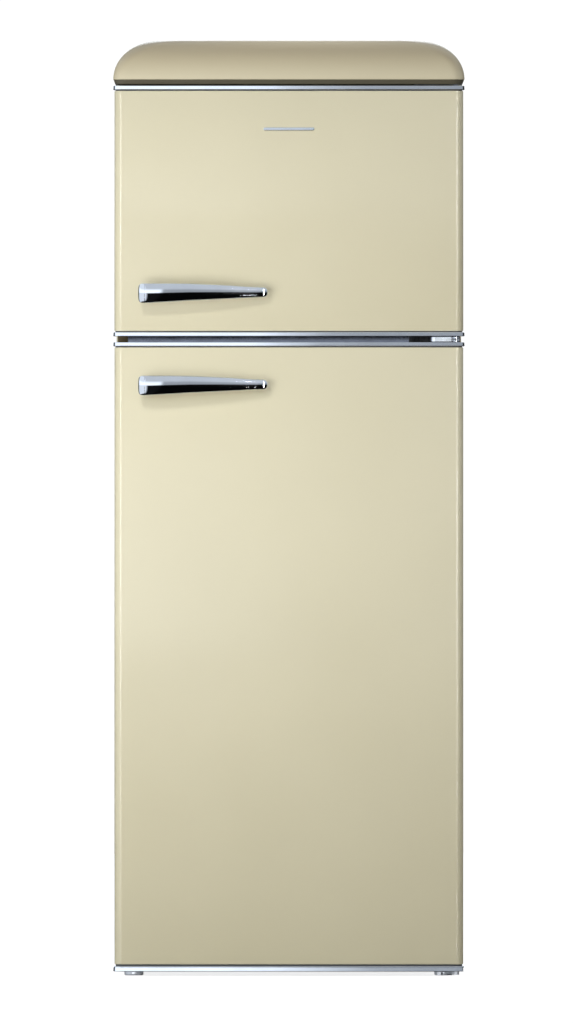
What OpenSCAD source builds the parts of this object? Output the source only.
// Two-door retro refrigerator: a freezer above a larder compartment.
// Millimetres. +Z is up, the doors face -Y and hinge on the +X side.
// The origin is on the floor, below the centre of the overall box.

/* [Case] */
// Width over the cap and the door trims
overall_w = 550; // [540:1:600]
// Height from the floor to the top of the cap
overall_h = 1465; // [1440:1:1560]
// Width of the steel case
case_w = 540; // [530:1:540]
// Depth of the steel case without doors or condenser
case_d = 485; // [470:1:520]
// Height of the case's bottom edge above the floor
case_bottom = 22; // [22:1:24]
// Thickness of the steel sheet
sheet_t = 0.8; // [0.6:0.1:1.0]
// Thickness of the moulded liners
liner_t = 2; // [1.5:0.1:2.5]
// Insulation beside each compartment
wall_t = 50; // [46:1:56]

/* [Doors] */
// Thickness of a door from its front face to its back face
door_t = 55; // [50:1:60]
// Width of the painted door skin
door_w = 546; // [540:1:546]
// Radius of the skin's long front edges
door_r = 12; // [8:1:16]
// Clearance below the lower door
door_floor_gap = 7.2; // [7:0.1:9]
// Height of the lower door over its trims
fridge_door_h = 984.8; // [980:0.2:990]
// Gap between the two doors
door_gap = 9.4; // [9:0.1:12]
// Height of the upper door over its trims
freezer_door_h = 392; // [388:1:400]
// Height of the bright bead on a door trim
bead_h = 5.2; // [4:0.1:6]
// Height of the dark groove between a bead and the skin
groove_h = 2.8; // [2:0.1:4]
// How far a bead stands proud of the skin
bead_proud = 2; // [1:0.1:2]
// Compressed thickness of a door gasket
gasket_t = 10; // [8:0.5:12]

/* [Handles] */
// Length of a handle
handle_l = 204; // [180:1:220]
// Height of the handle's thick end
handle_thick = 31; // [26:1:34]
// Height of the handle's thin end
handle_thin = 15; // [12:1:18]
// How far a handle stands out from its door
handle_reach = 42; // [38:1:48]
// Distance from the door's free edge to the handle's thick end
handle_edge = 37; // [30:1:50]
// Distance from the bottom of the upper door to the middle of its handle
freezer_handle_up = 67; // [50:1:90]
// Distance from the top of the lower door to the middle of its handle
fridge_handle_down = 68; // [50:1:90]

/* [Cap] */
// Height of the dome above the lip
cap_dome_h = 61; // [50:1:61]
// Horizontal reach of the dome's rounding at the sides
cap_side_r = 72; // [50:1:90]
// Horizontal reach of the dome's rounding at the front
cap_front_r = 66; // [50:1:90]
// Horizontal reach of the dome's rounding at the back
cap_back_r = 40; // [20:1:80]
// Wall of the cap
cap_wall = 2.5; // [2:0.1:3]

/* [Interior] */
// Height of each glass shelf above the floor
shelf_levels = [282, 450, 620, 790];
// Height of the freezer shelf above the floor
freezer_shelf_level = 1190; // [1150:5:1220]
// Thickness of the shelf glass
glass_t = 4; // [3:0.5:5]
// Height of each door rack above the floor: lower door
fridge_rack_levels = [92, 400, 660];
// Height of each door rack above the floor: upper door
freezer_rack_levels = [1062, 1220];
// Height of a small door rack
rack_h = 62; // [50:1:80]
// Height of the bottle rack
bottle_rack_h = 96; // [80:1:120]

/* [Cooling unit] */
// How far the condenser stands behind the case
condenser_reach = 25; // [22:1:30]
// Height between the condenser's runs
coil_pitch = 40; // [30:2:50]
// Number of condenser runs
coil_runs = 22; // [16:1:22]
// Spacing of the condenser's wires
wire_pitch = 12; // [10:1:20]

/* [Hidden] */
$fn = 64;

// Clearances
run_gap = 0.06;   // a pin in its bush
face_gap = 0.3;   // faces of two bodies that pass each other
over = 1;         // how far a cutter runs past the face it cuts
slice = 0.01;     // thickness of a cross-section in a hull

// Depths, from the front of the handles to the back of the condenser
depth = handle_reach + door_t + gasket_t + case_d + condenser_reach;
door_front = -depth / 2 + handle_reach;
door_back = door_front + door_t;
case_front = door_back + gasket_t;
case_back = case_front + case_d;
rear = depth / 2;

// Heights
cap_lip_h = 8.5;
cap_dome_z = overall_h - cap_dome_h;
cap_bottom = cap_dome_z - cap_lip_h;
case_top = cap_bottom;
fridge_door_z0 = door_floor_gap;
fridge_door_z1 = fridge_door_z0 + fridge_door_h;
freezer_door_z0 = fridge_door_z1 + door_gap;
freezer_door_z1 = freezer_door_z0 + freezer_door_h;
trim_h = bead_h + groove_h;
low_bead_h = 7.3;         // the lower door's bottom bead is taller
low_groove_h = 4;
low_trim_h = low_bead_h + low_groove_h;
plug_h = 8;                // depth of a trim's plug inside the skin
low_notch_h = 6.3;        // recess in that bead for the bottom hinge

// Front frame of the case
flange_w = 28;
rail_side = 16;           // width of the case's flange beside the centre rail
rail_z0 = 970;
rail_z1 = 1026;

// Compartments, as the liners' outer forms: [lowest, highest]
cavity_w = case_w - 2 * wall_t + 4;
cavity_back = case_back - 56;
fridge_z = [70, 964];
freezer_z = [1032, 1351];
cavity_r = 20;
hump_y = 60;              // front of the step over the machine bay
hump_z = 272;             // top of that step
bay_y = 100;              // front of the machine bay
bay_z = 232;              // roof of the machine bay
ledge_w = 7;
ledge_h = 8;

// Door interior
plateau_y = case_front + 1.5;   // how far the door liner's middle stands back
dyke_y = case_front + 36.5;     // how far its side ridges reach into the case
dyke_x = [202, 212];
dyke_margin = 16;
rack_front = case_front + 81.5;
gasket_w = 11;
gasket_x = 258;
shelf_front = rack_front + 30;
shelf_back = cavity_back - 13;
drawer_top = 264;
cold_plate_y = cavity_back - 10.5;
cold_plate_z = [500, 780];

// Hinges
hinge_x = 261;
hinge_y = door_front + 26.5;
pin_r = 4;
bush_r = 7;
bush_l = 20;
foot_x = 243;
foot_y = case_front + 27;
foot_r = 15;
stud_r = 4;
top_plate_z = case_top;
middle_plate_z = fridge_door_z1 + 0.7;
middle_plate_t = door_gap - 1.4;
low_plate_z = 8.2;
low_plate_t = 4;
freezer_bushes = [freezer_door_z0, freezer_door_z1 - bush_l];
fridge_bushes = [fridge_door_z0 + low_notch_h, fridge_door_z1 - bush_l];

// Machine bay
mount_z = 26;
compressor_x = -20;
compressor_y = 190;
compressor_z = 52;
compressor_r = 72;
compressor_h = 132;
stubs = [[-40, 60], [30, 32]];
stub_y = 72;
pipe_y = compressor_y + stub_y + 14;
drier_x = -200;
drier_y = 250;
riser_x = -256;
foot_spread = [68, 44];
foot_z = compressor_z - 10;
grommet_bore = 4;
roller_x = 225;
roller_y = 250;
roller_r = 12;
roller_w = 14;
axle_r = 3;
gland_x = 180;
gland_z = 46;
gland_r = 4;

// Condenser
coil_r = 2.4;
wire_r = 0.75;
wire_gap = 0.03;
coil_y = rear - coil_r - 2 * wire_r - wire_gap;
coil_z0 = 320;
coil_half = 226;
coil_bend = coil_pitch / 2;
wire_count = 35;

// Thermostat and lamp
housing_x = cavity_w / 2 - liner_t;
housing_d = 30;
housing_y = [-40, 110];
housing_z = [866, 942];
knob_y = -8;
knob_r = 20;
switch_x = 226.5;
switch_z = 930;
switch_r = 3;

// ---------------------------------------------------------------- helpers

// A rounded rectangle between two corners, with true arcs
module rounded_rect(lo, hi, r) {
    translate([lo[0] + r, lo[1]]) square([hi[0] - lo[0] - 2 * r, hi[1] - lo[1]]);
    translate([lo[0], lo[1] + r]) square([hi[0] - lo[0], hi[1] - lo[1] - 2 * r]);
    for (x = [lo[0] + r, hi[0] - r], y = [lo[1] + r, hi[1] - r]) translate([x, y]) circle(r);
}

// Extrudes an outline drawn in X and Z from one depth to another
module along_y(y0, y1) translate([0, y1, 0]) rotate([90, 0, 0]) linear_extrude(y1 - y0) children();

// Extrudes an outline drawn in Y and Z from one side to another
module along_x(x0, x1) translate([x0, 0, 0]) rotate([90, 0, 90]) linear_extrude(x1 - x0) children();

// A box between two corners
module box(lo, hi) translate(lo) cube(hi - lo);

// Both sides of the object
module both_sides() {
    children();
    mirror([1, 0, 0]) children();
}

// A tube along a list of points: one ring a point, square to the path there
function unit(v) = v / norm(v);
function path_dir(p, i) = unit(p[min(i + 1, len(p) - 1)] - p[max(i - 1, 0)]);
function ring_axis(d, up) = unit(up - (up * d) * d);
function ring_axes(p, i = 0, up = [0.3, 0.5, 0.8]) =
    i >= len(p) ? [] : let (a = ring_axis(path_dir(p, i), up)) concat([a], ring_axes(p, i + 1, a));
function bezier(a, b, c, t) = a * (1 - t) * (1 - t) + 2 * b * t * (1 - t) + c * t * t;
// Rounds the inner corners of a polyline with a curve that starts and ends r away
function rounded_path(p, r, steps = 4) = concat([p[0]],
    [for (i = [1 : len(p) - 2])
        let (a = p[i] + r * unit(p[i - 1] - p[i]), c = p[i] + r * unit(p[i + 1] - p[i]))
            for (k = [0 : steps]) bezier(a, p[i], c, k / steps)],
    [p[len(p) - 1]]);

module tube(points, r, bend, sides = 10) {
    p = rounded_path(points, bend);
    n = len(p);
    u = ring_axes(p);
    rings = [for (i = [0 : n - 1]) let (v = cross(path_dir(p, i), u[i]))
        for (k = [0 : sides - 1]) p[i] + r * (cos(360 * k / sides) * u[i] + sin(360 * k / sides) * v)];
    faces = concat(
        [[for (k = [0 : sides - 1]) k]],
        [for (i = [0 : n - 2], k = [0 : sides - 1]) let (a = i * sides, j = (k + 1) % sides)
            [a + k, a + sides + k, a + sides + j, a + j]],
        [[for (k = [sides - 1 : -1 : 0]) (n - 1) * sides + k]]);
    polyhedron(rings, faces, convexity = 6);
}

// ---------------------------------------------------------------- case

// Outline of the case from above, with rounded front corners
module case_plan(inset) {
    half = case_w / 2 - inset;
    rounded_rect([-half, case_front + inset], [half, case_back - 10], 5 - inset);
    translate([-half, case_front + 20]) square([2 * half, case_d - 20]);
}

module outer_case() {
    half = case_w / 2;
    color("khaki") difference() {
        translate([0, 0, case_bottom]) linear_extrude(case_top - case_bottom) case_plan(0);
        translate([0, 0, case_bottom - over])
            linear_extrude(case_top - sheet_t - case_bottom + over) case_plan(sheet_t);
        // open at the back
        box([-half + sheet_t, case_back - 30, case_bottom - over],
            [half - sheet_t, case_back + over, case_top - sheet_t]);
        // opening of the front flanges
        box([-half + flange_w, case_front - over, case_bottom - over],
            [half - flange_w, case_front + 10, case_top - flange_w]);
        // room for the centre rail
        box([-half + rail_side, case_front - over, rail_z0],
            [half - rail_side, case_front + 10, rail_z1]);
    }
}

module back_panel() {
    half = case_w / 2 - sheet_t;
    color("gainsboro") box([-half, case_back - sheet_t, bay_z], [half, case_back, case_top - sheet_t]);
}

// Bent floor of the case: front upstand, floor, riser and roof of the machine bay
module base_profile() {
    translate([case_front, case_bottom]) square([sheet_t, flange_w]);
    translate([case_front, case_bottom]) square([bay_y - case_front + sheet_t, sheet_t]);
    translate([bay_y, case_bottom]) square([sheet_t, bay_z - case_bottom]);
    translate([bay_y, bay_z - sheet_t]) square([case_back - bay_y, sheet_t]);
}

module base_plate() {
    half = case_w / 2 - sheet_t;
    color("silver") difference() {
        union() {
            along_x(-half, half) base_profile();
            for (x = [-foot_x, foot_x]) translate([x, foot_y, case_bottom])
                cylinder(r = stud_r + 3, h = 9);
        }
        for (x = [-foot_x, foot_x]) translate([x, foot_y, case_bottom - over])
            cylinder(r = stud_r + run_gap, h = 12);
        // the side flanges of the case take the corners of the upstand
        both_sides() box([half - flange_w + sheet_t, case_front - over, case_bottom - over],
            [half + over, case_front + sheet_t, case_bottom + flange_w + over]);
    }
}

module compressor_mount() {
    half = case_w / 2 - sheet_t;
    color("dimgray") {
        difference() {
            union() {
                box([-half, 118, mount_z], [half, 272, mount_z + 2]);
                box([-half, 270, mount_z], [half, 272, mount_z + 12]);
                box([gland_x - 16, 270, mount_z], [gland_x + 16, 272, gland_z + 16]);
                box([-half, 118, mount_z], [half, 120, mount_z + 12]);
            }
            translate([gland_x, 268, gland_z]) rotate([-90, 0, 0]) cylinder(r = 8, h = 6);
        }
        // studs and nuts for the compressor
        for (x = foot_spread[0] * [-1, 1], y = foot_spread[1] * [-1, 1])
            translate([compressor_x + x, compressor_y + y, mount_z + 1]) {
                cylinder(r = grommet_bore, h = compressor_z - mount_z + 2);
                translate([0, 0, compressor_z - mount_z - 4]) cylinder(r = 7, h = 5, $fn = 6);
            }
    }
}

// Outer form of a compartment, drawn in by inset
module freezer_form(inset) {
    half = cavity_w / 2 - inset;
    along_y(case_front - (inset > 0 ? over : 0), cavity_back - inset)
        rounded_rect([-half, freezer_z[0] + inset], [half, freezer_z[1] - inset], cavity_r);
}

module fridge_form(inset) {
    half = cavity_w / 2 - inset;
    difference() {
        along_y(case_front - (inset > 0 ? over : 0), cavity_back - inset)
            rounded_rect([-half, fridge_z[0] + inset], [half, fridge_z[1] - inset], cavity_r);
        box([-half - over, hump_y - inset, fridge_z[0] - over],
            [half + over, cavity_back + over, hump_z + inset]);
    }
}

// Front flange of a liner, between the steel flanges
module liner_flange(z0, z1) {
    half = case_w / 2 - flange_w;
    box([-half, case_front, z0], [half, case_front + liner_t, z1]);
}

// A ledge on each side wall for a shelf
module ledges(z) both_sides() box([cavity_w / 2 - liner_t - ledge_w, shelf_front + 10, z - ledge_h],
    [cavity_w / 2 - liner_t / 2, shelf_back - 5, z]);

module freezer_liner() color("white") {
    difference() {
        union() {
            freezer_form(0);
            liner_flange(rail_z1, case_top - flange_w);
        }
        freezer_form(liner_t);
    }
    ledges(freezer_shelf_level);
}

module fridge_liner() color("white") {
    difference() {
        union() {
            fridge_form(0);
            liner_flange(case_bottom + flange_w, rail_z0);
            translate([switch_x, case_front, switch_z]) rotate([-90, 0, 0]) cylinder(r = 6, h = 26);
        }
        fridge_form(liner_t);
        translate([switch_x, case_front - over, switch_z]) rotate([-90, 0, 0])
            cylinder(r = switch_r + run_gap, h = 40);
    }
    for (z = shelf_levels) ledges(z);
}

module rail_profile() {
    translate([case_front, rail_z0]) square([1, rail_z1 - rail_z0]);
    translate([case_front, rail_z0]) square([10, 1]);
    translate([case_front, rail_z1 - 1]) square([10, 1]);
}

module centre_rail() {
    half = case_w / 2 - rail_side;
    color("slategray") along_x(-half, half) rail_profile();
}

module hinge_hole_cover() {
    color("tan") box([-case_w / 2 + 2, case_front - 2.5, 990], [-case_w / 2 + 18, case_front, 1004]);
}

// The freezer's cold plate, foamed in behind its liner
module freezer_cold_plate()
    box([-200, cavity_back, freezer_z[0] + 30], [200, cavity_back + 2, freezer_z[1] - 30]);

module evaporator_plates() color("silver") {
    freezer_cold_plate();
    // the lower compartment's plate stands off its back wall
    box([-150, cold_plate_y, cold_plate_z[0]], [150, cold_plate_y + 2, cold_plate_z[1]]);
    for (x = [-130, 130], z = cold_plate_z + [24, -24]) translate([x, cold_plate_y, z])
        rotate([-90, 0, 0]) cylinder(r = 5, h = cavity_back - liner_t - cold_plate_y);
}

module cabinet_insulation() {
    half = case_w / 2 - sheet_t;
    flange = case_w / 2 - flange_w;
    color("lightyellow") difference() {
        box([-half, case_front + sheet_t, case_bottom + sheet_t],
            [half, case_back - sheet_t, case_top - sheet_t]);
        // the case's rounded front corners
        both_sides() box([half - 5, case_front, case_bottom], [half + over, case_front + 5, case_top]);
        // the machine bay
        box([-half - over, bay_y, case_bottom], [half + over, case_back, bay_z]);
        freezer_form(0);
        fridge_form(0);
        liner_flange(rail_z1, case_top - flange_w);
        liner_flange(case_bottom + flange_w, rail_z0);
        centre_rail();
        freezer_cold_plate();
        translate([switch_x, case_front, switch_z]) rotate([-90, 0, 0]) cylinder(r = 6, h = 36);
        for (x = [-foot_x, foot_x]) translate([x, foot_y, case_bottom]) cylinder(r = stud_r + 3, h = 24);
    }
}

// ---------------------------------------------------------------- cap

// A slice of the cap at an angle up its rounding, from 0 at the lip to 90 at the top
module cap_slice(angle, wall) {
    s = 1 - cos(angle);
    half = overall_w / 2 - wall - cap_side_r * s;
    y0 = door_front - bead_proud + wall + cap_front_r * s;
    y1 = case_back - wall - cap_back_r * s;
    translate([0, 0, cap_dome_z + (cap_dome_h - wall - slice) * sin(angle)]) linear_extrude(slice)
        rounded_rect([-half, y0], [half, y1], 20 - wall + 26 * s, $fn = 32);
}

module cap_form(wall) hull() {
    for (angle = [0 : 10 : 90]) cap_slice(angle, wall);
    translate([0, 0, -cap_lip_h - (wall > 0 ? over : 0)]) cap_slice(0, wall + 2);
}

module top_cap() color("khaki") {
    difference() {
        cap_form(0);
        cap_form(cap_wall);
    }
    // floor over the upper door, above the hinge plate
    intersection() {
        cap_form(cap_wall / 2);
        box([-overall_w, door_front, cap_bottom + 4.5], [overall_w, case_front + 3, cap_bottom + 6.5]);
    }
    // posts that stand on the case
    for (x = [-150, 150], y = [-150, 190]) translate([x, y, case_top])
        cylinder(r = 7, h = overall_h - cap_wall / 2 - case_top);
}

// ---------------------------------------------------------------- hinges

module top_hinge_bracket() {
    color("silver") translate([0, 0, top_plate_z]) difference() {
        linear_extrude(3) {
            rounded_rect([196, case_front + 4], [268, case_front + 62], 6);
            translate([hinge_x, hinge_y]) circle(9);
            translate([hinge_x - 30, hinge_y]) square([39, case_front - hinge_y + 20]);
        }
        translate([hinge_x, hinge_y, -over]) cylinder(r = pin_r, h = 6);
        for (x = [212, 232, 252]) translate([x, case_front + 40, -over]) cylinder(r = 2.6, h = 6);
    }
}

module middle_hinge_bracket() {
    z0 = middle_plate_z;
    z_mid = z0 + middle_plate_t / 2;
    color("silver") difference() {
        union() {
            translate([0, 0, z0]) linear_extrude(middle_plate_t) {
                translate([hinge_x, hinge_y]) circle(8);
                translate([222, hinge_y]) square([hinge_x + 8 - 222, case_front - hinge_y]);
                translate([230, hinge_y - 8]) square([hinge_x - 230, 16]);
            }
            box([188, case_front - 2.5, z_mid - 10.5], [hinge_x + 6, case_front, z_mid + 10.5]);
        }
        translate([hinge_x, hinge_y, z0 - over]) cylinder(r = pin_r, h = middle_plate_t + 2 * over);
        for (x = [197, 212]) translate([x, case_front - 5, z_mid]) rotate([-90, 0, 0])
            cylinder(r = 2.6, h = 8);
    }
}

// A stepped bracket: the lower plate carries the door, the upper plate is under the case
module bottom_hinge_bracket() {
    z0 = low_plate_z;
    side = hinge_x + 8.5;
    color("silver") difference() {
        union() {
            translate([0, 0, z0]) linear_extrude(low_plate_t) {
                translate([hinge_x, hinge_y]) circle(8.5);
                translate([229, hinge_y]) square([side - 229, case_front + 8 - hinge_y]);
                translate([229, hinge_y - 8.5]) square([hinge_x - 229, 17]);
            }
            box([229, case_front + 5, z0], [side, case_front + 8, case_bottom]);
            box([200, case_front + 5, case_bottom - 3], [side, case_front + 56, case_bottom]);
        }
        translate([hinge_x, hinge_y, z0 - over]) cylinder(r = pin_r, h = 6);
        translate([235.5, hinge_y, z0 - over]) cylinder(r = 3, h = 6);
        translate([foot_x, foot_y, case_bottom - 6]) cylinder(r = stud_r + 0.6, h = 8);
        for (x = [212, 262]) translate([x, case_front + 44, case_bottom - 6]) cylinder(r = 2.6, h = 8);
    }
}

module hinge_pins() color("silver") {
    // upper door, from the top bracket down
    translate([hinge_x, hinge_y, freezer_door_z1 - 15])
        cylinder(r = pin_r, h = top_plate_z + 3 - freezer_door_z1 + 15);
    // one pin through the middle bracket
    translate([hinge_x, hinge_y, fridge_door_z1 - 16]) cylinder(r = pin_r, h = 32 + door_gap);
    // lower door, with a hexagon head under the bracket
    translate([hinge_x, hinge_y, low_plate_z]) cylinder(r = pin_r, h = 20);
    translate([hinge_x, hinge_y, low_plate_z - 6.5]) cylinder(r = 5.5, h = 6.5, $fn = 6);
}

// A hexagon-headed screw: its point of contact is the head's underside, and it points along -Z
module hex_screw(r, l, head_r, head_h) {
    cylinder(r = head_r, h = head_h, $fn = 6);
    translate([0, 0, -l]) cylinder(r = r, h = l);
}

module hinge_screws() color("dimgray") {
    for (x = [212, 232, 252]) translate([x, case_front + 40, top_plate_z + 3]) hex_screw(2.5, 3, 5, 3.5);
    for (x = [197, 212])
        translate([x, case_front - 2.5, middle_plate_z + middle_plate_t / 2]) rotate([90, 0, 0])
            hex_screw(2.5, 2.5, 6, 3);
    for (x = [212, 262]) translate([x, case_front + 44, case_bottom - 3]) rotate([180, 0, 0])
        hex_screw(2.5, 3, 5, 3.5);
    translate([235.5, hinge_y, low_plate_z]) rotate([180, 0, 0]) hex_screw(2.95, low_plate_t, 5.5, 6.5);
}

// ---------------------------------------------------------------- cooling unit

// Half outline of the compressor's shell: a drum with rounded ends
module shell_outline(inset) {
    intersection() {
        square([compressor_r + 10, compressor_h - inset]);
        rounded_rect([-compressor_r + inset, inset], [compressor_r - inset, compressor_h - inset],
            30 - inset);
    }
}

module compressor() color("black") {
    translate([compressor_x, compressor_y, compressor_z]) {
        difference() {
            union() {
                rotate_extrude() shell_outline(0);
                translate([0, 0, 64]) cylinder(r = compressor_r + 2.5, h = 5);
            }
            rotate_extrude() shell_outline(3);
        }
        // the motor and pump inside the shell
        translate([0, 0, 2]) cylinder(r = 44, h = 104);
        // the boss under the terminal cover
        box([compressor_r - 8, -14, 40], [compressor_r + 8, 14, 84]);
        // pipe stubs
        for (p = stubs) translate([p[0], 40, p[1]]) rotate([-90, 0, 0]) cylinder(r = 4.5, h = stub_y - 40);
    }
    // feet
    difference() {
        for (y = foot_spread[1] * [-1, 1]) translate([compressor_x, compressor_y + y, foot_z]) {
            box([-86, -13, 0], [86, 13, 3]);
            for (x = [-30, 30]) box([x - 12, -3, 2], [x + 12, 3, 22]);
        }
        for (x = foot_spread[0] * [-1, 1], y = foot_spread[1] * [-1, 1])
            translate([compressor_x + x, compressor_y + y, foot_z - over]) cylinder(r = 6.5, h = 5);
    }
}

module compressor_grommets() color("gray") {
    z0 = mount_z + 2;
    for (x = foot_spread[0] * [-1, 1], y = foot_spread[1] * [-1, 1])
        translate([compressor_x + x, compressor_y + y, z0]) difference() {
            union() {
                cylinder(r = 11, h = foot_z - z0);
                cylinder(r = 6.4, h = compressor_z - 5 - z0);
                translate([0, 0, foot_z + 3 - z0]) cylinder(r = 9.5, h = 2);
            }
            translate([0, 0, -over]) cylinder(r = grommet_bore, h = 40);
        }
}

module terminal_cover() color("black") {
    x0 = compressor_x + compressor_r + 8;
    difference() {
        box([x0, compressor_y - 26, 84], [x0 + 34, compressor_y + 34, 148]);
        // open below for the wires
        box([x0 + 2, compressor_y - 24, 83], [x0 + 32, compressor_y + 32, 146]);
    }
}

module refrigerant_tubes() color("peru") {
    top_z = coil_z0 + (coil_runs - 1) * coil_pitch;
    discharge = [compressor_x + stubs[0][0], compressor_y + stub_y, compressor_z + stubs[0][1]];
    suction = [compressor_x + stubs[1][0], compressor_y + stub_y, compressor_z + stubs[1][1]];
    roof = bay_z - sheet_t;
    // hot gas: from the compressor out of the bay and up to the top run
    tube([discharge, discharge + [0, 14, 0], [riser_x, pipe_y, discharge[2]], [riser_x, pipe_y, 190],
        [riser_x, coil_y, 190], [riser_x, coil_y, top_z], [-coil_half, coil_y, top_z]], coil_r, 6);
    // liquid: from the bottom run down into the drier
    tube([[-coil_half, coil_y, coil_z0], [-240, coil_y, coil_z0], [-240, coil_y, 206],
        [drier_x, drier_y, 206], [drier_x, drier_y, 182]], coil_r, 6);
    translate([drier_x, drier_y, 90]) cylinder(r1 = 3, r2 = 9, h = 14);
    translate([drier_x, drier_y, 104]) cylinder(r = 9, h = 62);
    translate([drier_x, drier_y, 166]) cylinder(r1 = 9, r2 = 4, h = 16);
    // capillary: from the drier up to the roof of the bay
    tube([[drier_x, drier_y, 90], [drier_x, drier_y, 66], [drier_x + 28, drier_y, 66],
        [drier_x + 28, drier_y, roof]], 1.2, 8, 8);
    // suction: from the roof of the bay to the compressor
    tube([[110, pipe_y, roof], [110, pipe_y, suction[2]], suction + [0, 14, 0], suction], 3.2, 8);
}

module condenser_coil() {
    color("black") for (i = [0 : coil_runs - 1]) translate([0, coil_y, coil_z0 + i * coil_pitch]) {
        rotate([0, 90, 0]) translate([0, 0, -coil_half]) cylinder(r = coil_r, h = 2 * coil_half);
        if (i < coil_runs - 1) mirror([i % 2, 0, 0]) translate([coil_half, 0, coil_bend])
            rotate([90, 0, 0]) rotate([0, 0, -90]) rotate_extrude(angle = 180)
                translate([coil_bend, 0]) circle(coil_r);
    }
}

module condenser_wires() {
    h = (coil_runs - 1) * coil_pitch + 24;
    off = coil_r + wire_r + wire_gap;
    color("black") for (i = [0 : wire_count - 1], side = [-1, 1])
        translate([(i - (wire_count - 1) / 2) * wire_pitch, coil_y + side * off, coil_z0 - 12])
            cylinder(r = wire_r, h = h, $fn = 16);
}

module condenser_standoffs() color("black") {
    for (x = [-217, 217], i = [2, coil_runs - 3]) {
        z = coil_z0 + i * coil_pitch;
        difference() {
            box([x - 6, case_back, z - 9], [x + 6, coil_y + 3, z + 9]);
            translate([x - 7, coil_y, z]) rotate([0, 90, 0]) cylinder(r = coil_r + 0.02, h = 14);
            box([x - 7, coil_y, z - coil_r - 0.02], [x + 7, coil_y + 4, z + coil_r + 0.02]);
        }
    }
}

module drip_tray() color("dimgray") {
    z0 = compressor_z + compressor_h;
    difference() {
        box([compressor_x - 78, 130, z0], [compressor_x + 78, 256, z0 + 34]);
        box([compressor_x - 75.5, 132.5, z0 + 2.5], [compressor_x + 75.5, 253.5, z0 + 35]);
    }
}

module cord_gland() color("black") {
    translate([gland_x, 272, gland_z]) rotate([-90, 0, 0]) difference() {
        union() {
            cylinder(r = 12, h = 5);
            cylinder(r = 8.5, h = 10);
            translate([0, 0, -2]) cylinder(r = 7.95, h = 3);
            translate([0, 0, -6]) cylinder(r = 12, h = 4);
        }
        translate([0, 0, -7]) cylinder(r = gland_r, h = 18);
    }
}

module roller_brackets() color("silver") both_sides() translate([roller_x, roller_y, 0]) {
    half = roller_w / 2 + 1;
    difference() {
        union() {
            box([-half - 2, -12, roller_r + 12.4], [half + 2, 12, mount_z]);
            for (s = [-1, 1]) translate([s * (half + 1) - 1, -8, 5]) cube([2, 16, mount_z - 6]);
        }
        translate([-half - 3, 0, roller_r]) rotate([0, 90, 0]) cylinder(r = axle_r, h = 2 * half + 6);
    }
    translate([-half - 3, 0, roller_r]) rotate([0, 90, 0]) cylinder(r = axle_r, h = 2 * half + 6);
}

module roller(side) color("dimgray") translate([side * roller_x, roller_y, roller_r]) rotate([0, 90, 0])
    difference() {
        translate([0, 0, -roller_w / 2]) cylinder(r = roller_r, h = roller_w);
        translate([0, 0, -roller_w]) cylinder(r = axle_r + run_gap, h = 2 * roller_w);
    }

module rear_roller_left() roller(-1);
module rear_roller_right() roller(1);

module foot(side) translate([side * foot_x, foot_y, 0]) {
    color("silver") translate([0, 0, 6]) cylinder(r = stud_r, h = 32);
    color("silver") cylinder(r = foot_r - 1.5, h = 1.5);
    color("silver") translate([0, 0, 1.5]) cylinder(r = foot_r, h = 6);
}

module front_foot_left() foot(-1);
module front_foot_right() foot(1);

// ---------------------------------------------------------------- interior

module thermostat_housing() {
    x0 = housing_x - housing_d;
    color("whitesmoke") difference() {
        along_x(x0, housing_x) rounded_rect([housing_y[0], housing_z[0]], [housing_y[1], housing_z[1]], 10);
        along_x(x0 + 2, housing_x - 2)
            rounded_rect([housing_y[0] + 2, housing_z[0] + 2], [housing_y[1] - 2, housing_z[1] - 2], 8);
        // the window for the lamp
        along_x(x0 - over, x0 + 3) rounded_rect([34, housing_z[0] + 12], [100, housing_z[1] - 12], 6);
        translate([x0 - over, knob_y, 908]) rotate([0, 90, 0]) cylinder(r = pin_r + run_gap, h = 5);
    }
}

module thermostat_knob() {
    x0 = housing_x - housing_d;
    color("white") translate([x0 - face_gap, knob_y, 908]) rotate([0, -90, 0]) {
        cylinder(r = knob_r, h = 3);
        cylinder(r = knob_r - 3, h = 12);
        translate([-knob_r + 4, -2.5, 0]) cube([2 * knob_r - 8, 5, 17]);
        translate([0, 0, -12]) cylinder(r = pin_r, h = 13);
    }
}

module lamp_bulb() color("white") {
    x = housing_x - 15;
    translate([x, 76, 908]) sphere(r = 10);
    translate([x, 78, 908]) rotate([-90, 0, 0]) cylinder(r = 6.5, h = housing_y[1] - 2 - 78);
}

module lamp_cover() {
    x0 = housing_x - housing_d;
    color("aliceblue") difference() {
        along_x(x0 - 6, x0) rounded_rect([30, housing_z[0] + 8], [104, housing_z[1] - 8], 8);
        along_x(x0 - 4, x0 + over) rounded_rect([32, housing_z[0] + 10], [102, housing_z[1] - 10], 6);
    }
}

module lamp_switch() color("white")
    translate([switch_x, door_back + face_gap, switch_z]) rotate([-90, 0, 0])
    cylinder(r = switch_r, h = 32);

module glass_shelves() color("lightcyan") {
    half = cavity_w / 2 - liner_t - 2;
    for (z = shelf_levels) box([-half, shelf_front + 6, z], [half, shelf_back, z + glass_t]);
}

// Front edge of a shelf, grooved for the glass
module shelf_trims() {
    half = cavity_w / 2 - liner_t - 2;
    color("white") for (z = shelf_levels) difference() {
        along_x(-half, half) translate([shelf_front, z - 5]) square([16, glass_t + 8]);
        box([-half - over, shelf_front + 6, z], [half + over, shelf_front + 17, z + glass_t]);
        // clear of the ledges on the side walls
        both_sides() box([half - ledge_w - 2, shelf_front + 8, z - 6], [half + over, shelf_front + 17, z]);
    }
}

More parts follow.
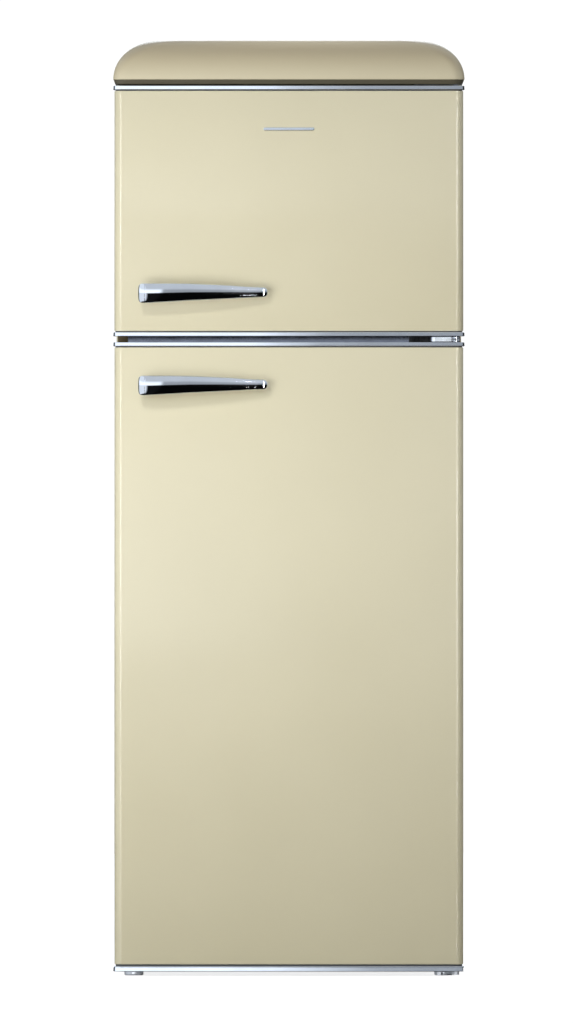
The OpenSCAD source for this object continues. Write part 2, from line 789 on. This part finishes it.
module freezer_shelf() {
    half = cavity_w / 2 - liner_t - 2;
    bar = 4;
    z0 = freezer_shelf_level;
    color("white") {
        for (y = [shelf_front, 20, shelf_back - bar]) box([-half, y, z0], [half, y + bar, z0 + bar]);
        for (x = [-half : (2 * half - bar) / 24 : half - bar + 0.01])
            box([x, shelf_front, z0], [x + bar, shelf_back, z0 + bar]);
    }
}

// Outer form of the drawer, drawn in by inset
module drawer_form(inset) {
    half = cavity_w / 2 - 8 - inset;
    z0 = fridge_z[0] + liner_t + face_gap + inset;
    along_y(shelf_front + inset * 1.2, hump_y - liner_t - 4 - inset)
        rounded_rect([-half, z0], [half, drawer_top + 30], 16 - inset);
}

module crisper_drawer() color("lightcyan") difference() {
    drawer_form(0);
    drawer_form(2.5);
    box([-250, shelf_front - over, drawer_top], [250, hump_y, drawer_top + 40]);
    // scoop in the front for fingers
    translate([0, shelf_front - over, drawer_top + 26]) rotate([-90, 0, 0]) cylinder(r = 44, h = 6);
}

// ---------------------------------------------------------------- doors

// Outline of a door from above: round front corners, square back
module door_plan(inset, back = 0) {
    half = door_w / 2 - inset;
    r = door_r - inset;
    y0 = door_front + inset;
    translate([-half, y0 + r]) square([2 * half, door_back - back - y0 - r]);
    translate([-half + r, y0]) square([2 * half - 2 * r, r + 1]);
    for (x = [-half + r, half - r]) translate([x, y0 + r]) circle(r);
}

module door_skin(z0, z1) color("khaki") translate([0, 0, z0]) linear_extrude(z1 - z0) difference() {
    door_plan(0);
    door_plan(sheet_t, -over);
}

// Bores for the hinge bushes of a door
module bush_bores(levels)
    for (z = levels) translate([hinge_x, hinge_y, z]) cylinder(r = bush_r, h = bush_l);

// Plug, groove and bead, drawn upwards from the end of the skin
module trim(h_groove, h_bead) {
    translate([0, 0, -plug_h]) linear_extrude(plug_h + h_groove + 1) door_plan(sheet_t + 0.7, liner_t);
    translate([0, 0, h_groove]) linear_extrude(h_bead) door_plan(-bead_proud);
}

module top_trim(z1, bushes) color("silver") difference() {
    translate([0, 0, z1 - trim_h]) trim(groove_h, bead_h);
    bush_bores(bushes);
}

// The raised middle and side ridges of a door liner, drawn in by inset
module door_form(z0, z1, inset) {
    a = z0 + dyke_margin + inset;
    b = z1 - dyke_margin - inset;
    box([-dyke_x[1] + inset, door_back - liner_t - over, a], [dyke_x[1] - inset, plateau_y - inset, b]);
    both_sides() box([dyke_x[0] + inset, door_back, a], [dyke_x[1] - inset, dyke_y - inset, b]);
}

module door_liner(z0, z1, cavity) color("white") difference() {
    union() {
        box([-door_w / 2 + sheet_t, door_back - liner_t, z0], [door_w / 2 - sheet_t, door_back, z1]);
        intersection() {
            door_form(cavity[0], cavity[1], 0);
            box([-door_w, door_back - liner_t, z0], [door_w, case_back, z1]);
        }
    }
    door_form(cavity[0], cavity[1], liner_t);
}

module door_insulation(z0, z1, cavity, bushes) color("lightyellow") {
    difference() {
        translate([0, 0, z0 + plug_h]) linear_extrude(z1 - z0 - 2 * plug_h) door_plan(sheet_t, liner_t);
        bush_bores(bushes);
    }
    intersection() {
        door_form(cavity[0], cavity[1], liner_t);
        box([-door_w, door_back - liner_t, z0], [door_w, case_back, z1]);
    }
}

module door_gasket(z0, z1) {
    color("gray") difference() {
        box([-gasket_x, door_back, z0], [gasket_x, case_front - face_gap, z1]);
        box([-gasket_x + gasket_w, door_back - over, z0 + gasket_w],
            [gasket_x - gasket_w, case_front + over, z1 - gasket_w]);
    }
}

module bushes(levels) color("white") for (z = levels) translate([hinge_x, hinge_y, z]) difference() {
    cylinder(r = bush_r, h = bush_l);
    translate([0, 0, -over]) cylinder(r = pin_r + run_gap, h = bush_l + 2 * over);
}

// A rack between the ridges of a door: an open tray, its ends lower than its front
module door_rack(z0, h) {
    half = dyke_x[0];
    color("aliceblue") difference() {
        box([-half, plateau_y, z0], [half, rack_front, z0 + h]);
        box([-half + 2.5, plateau_y + 2.5, z0 + 2.5], [half - 2.5, rack_front - 2.5, z0 + h + over]);
        box([-half - over, plateau_y - over, z0 + h * 0.62], [half + over, plateau_y + 40, z0 + h + over]);
    }
}

// Half height of the handle's thin end, as a share of the thick end's height
handle_tip = handle_thin / handle_thick / 2;

// Cross-sections of a handle: [along, up, out from the door, half height share, half depth]
handle_sections = [
    [0, 0, 30, 0.30, 4],
    [2.5, 0, 31, 0.41, 7.5],
    [9, 0, 32, 0.5, 10],
    [handle_l * 0.4, 1.7, 31.5, 0.44, 10],
    [handle_l * 0.72, 1.8, 26, 0.34, 8.5],
    [handle_l - 12, 1.6, 19.5, handle_tip, 6.8],
    [handle_l - 4, 1.6, 18.5, handle_tip * 0.9, 6],
    [handle_l, 1.6, 18, handle_tip * 0.5, 3.5]];

module handle(z) {
    x0 = -door_w / 2 + handle_edge;
    color("silver") translate([x0, door_front, z]) {
        // the bar: its thick end is by the door's free edge, and it bows out
        hull() for (s = handle_sections)
            translate([min(s[0], handle_l - slice), -s[2] * handle_reach / 42, s[1]]) rotate([90, 0, 90])
                linear_extrude(slice) scale([s[4], s[3] * handle_thick]) circle(1, $fn = 24);
        // legs
        translate([15, 0, 0]) rotate([90, 0, 0]) cylinder(r = 9, h = 26);
        translate([handle_l - 12, 0, 1.6]) rotate([90, 0, 0]) cylinder(r = 5.5, h = 16);
    }
}

freezer_skin_z = [freezer_door_z0 + trim_h, freezer_door_z1 - trim_h];
fridge_skin_z = [fridge_door_z0 + low_trim_h, fridge_door_z1 - trim_h];

module freezer_door_skin() door_skin(freezer_skin_z[0], freezer_skin_z[1]);
module freezer_door_insulation()
    door_insulation(freezer_skin_z[0], freezer_skin_z[1], freezer_z, freezer_bushes);
module freezer_door_liner() door_liner(freezer_skin_z[0], freezer_skin_z[1], freezer_z);
module freezer_door_gasket() door_gasket(1011, 1385);
module freezer_door_top_trim() top_trim(freezer_door_z1, freezer_bushes);
module freezer_door_bottom_trim() color("silver") difference() {
    translate([0, 0, freezer_skin_z[0]]) mirror([0, 0, 1]) trim(groove_h, bead_h);
    bush_bores(freezer_bushes);
}
module freezer_door_handle() handle(freezer_door_z0 + freezer_handle_up);
module freezer_door_upper_rack() door_rack(freezer_rack_levels[1], rack_h);
module freezer_door_lower_rack() door_rack(freezer_rack_levels[0], rack_h);
module freezer_door_bushes() bushes(freezer_bushes);

module fridge_door_skin() door_skin(fridge_skin_z[0], fridge_skin_z[1]);
module fridge_door_insulation()
    door_insulation(fridge_skin_z[0], fridge_skin_z[1], fridge_z, fridge_bushes);
module fridge_door_liner() door_liner(fridge_skin_z[0], fridge_skin_z[1], fridge_z);
module fridge_door_gasket() door_gasket(28, 983.5);
module fridge_door_top_trim() top_trim(fridge_door_z1, fridge_bushes);
module fridge_door_bottom_trim() color("silver") difference() {
    translate([0, 0, fridge_skin_z[0]]) mirror([0, 0, 1]) trim(low_groove_h, low_bead_h);
    bush_bores(fridge_bushes);
    // room for the bottom hinge
    box([hinge_x - 34, door_front - 5, -over], [overall_w, door_back + over, fridge_door_z0 + low_notch_h]);
}
module fridge_door_handle() handle(fridge_door_z1 - fridge_handle_down);
module fridge_door_upper_rack() door_rack(fridge_rack_levels[2], rack_h);
module fridge_door_middle_rack() door_rack(fridge_rack_levels[1], rack_h);
module fridge_door_bottle_rack() door_rack(fridge_rack_levels[0], bottle_rack_h);
module fridge_door_bushes() bushes(fridge_bushes);

outer_case();
back_panel();
base_plate();
compressor_mount();
cabinet_insulation();
freezer_liner();
fridge_liner();
centre_rail();
hinge_hole_cover();
top_cap();
top_hinge_bracket();
middle_hinge_bracket();
bottom_hinge_bracket();
hinge_pins();
hinge_screws();
compressor();
compressor_grommets();
terminal_cover();
refrigerant_tubes();
condenser_coil();
condenser_wires();
condenser_standoffs();
drip_tray();
cord_gland();
roller_brackets();
evaporator_plates();
thermostat_housing();
lamp_bulb();
lamp_cover();
glass_shelves();
shelf_trims();
freezer_shelf();
crisper_drawer();
thermostat_knob();
lamp_switch();
rear_roller_left();
rear_roller_right();
front_foot_left();
front_foot_right();
freezer_door_skin();
freezer_door_insulation();
freezer_door_liner();
freezer_door_gasket();
freezer_door_top_trim();
freezer_door_bottom_trim();
freezer_door_handle();
freezer_door_upper_rack();
freezer_door_lower_rack();
freezer_door_bushes();
fridge_door_skin();
fridge_door_insulation();
fridge_door_liner();
fridge_door_gasket();
fridge_door_top_trim();
fridge_door_bottom_trim();
fridge_door_handle();
fridge_door_upper_rack();
fridge_door_middle_rack();
fridge_door_bottle_rack();
fridge_door_bushes();
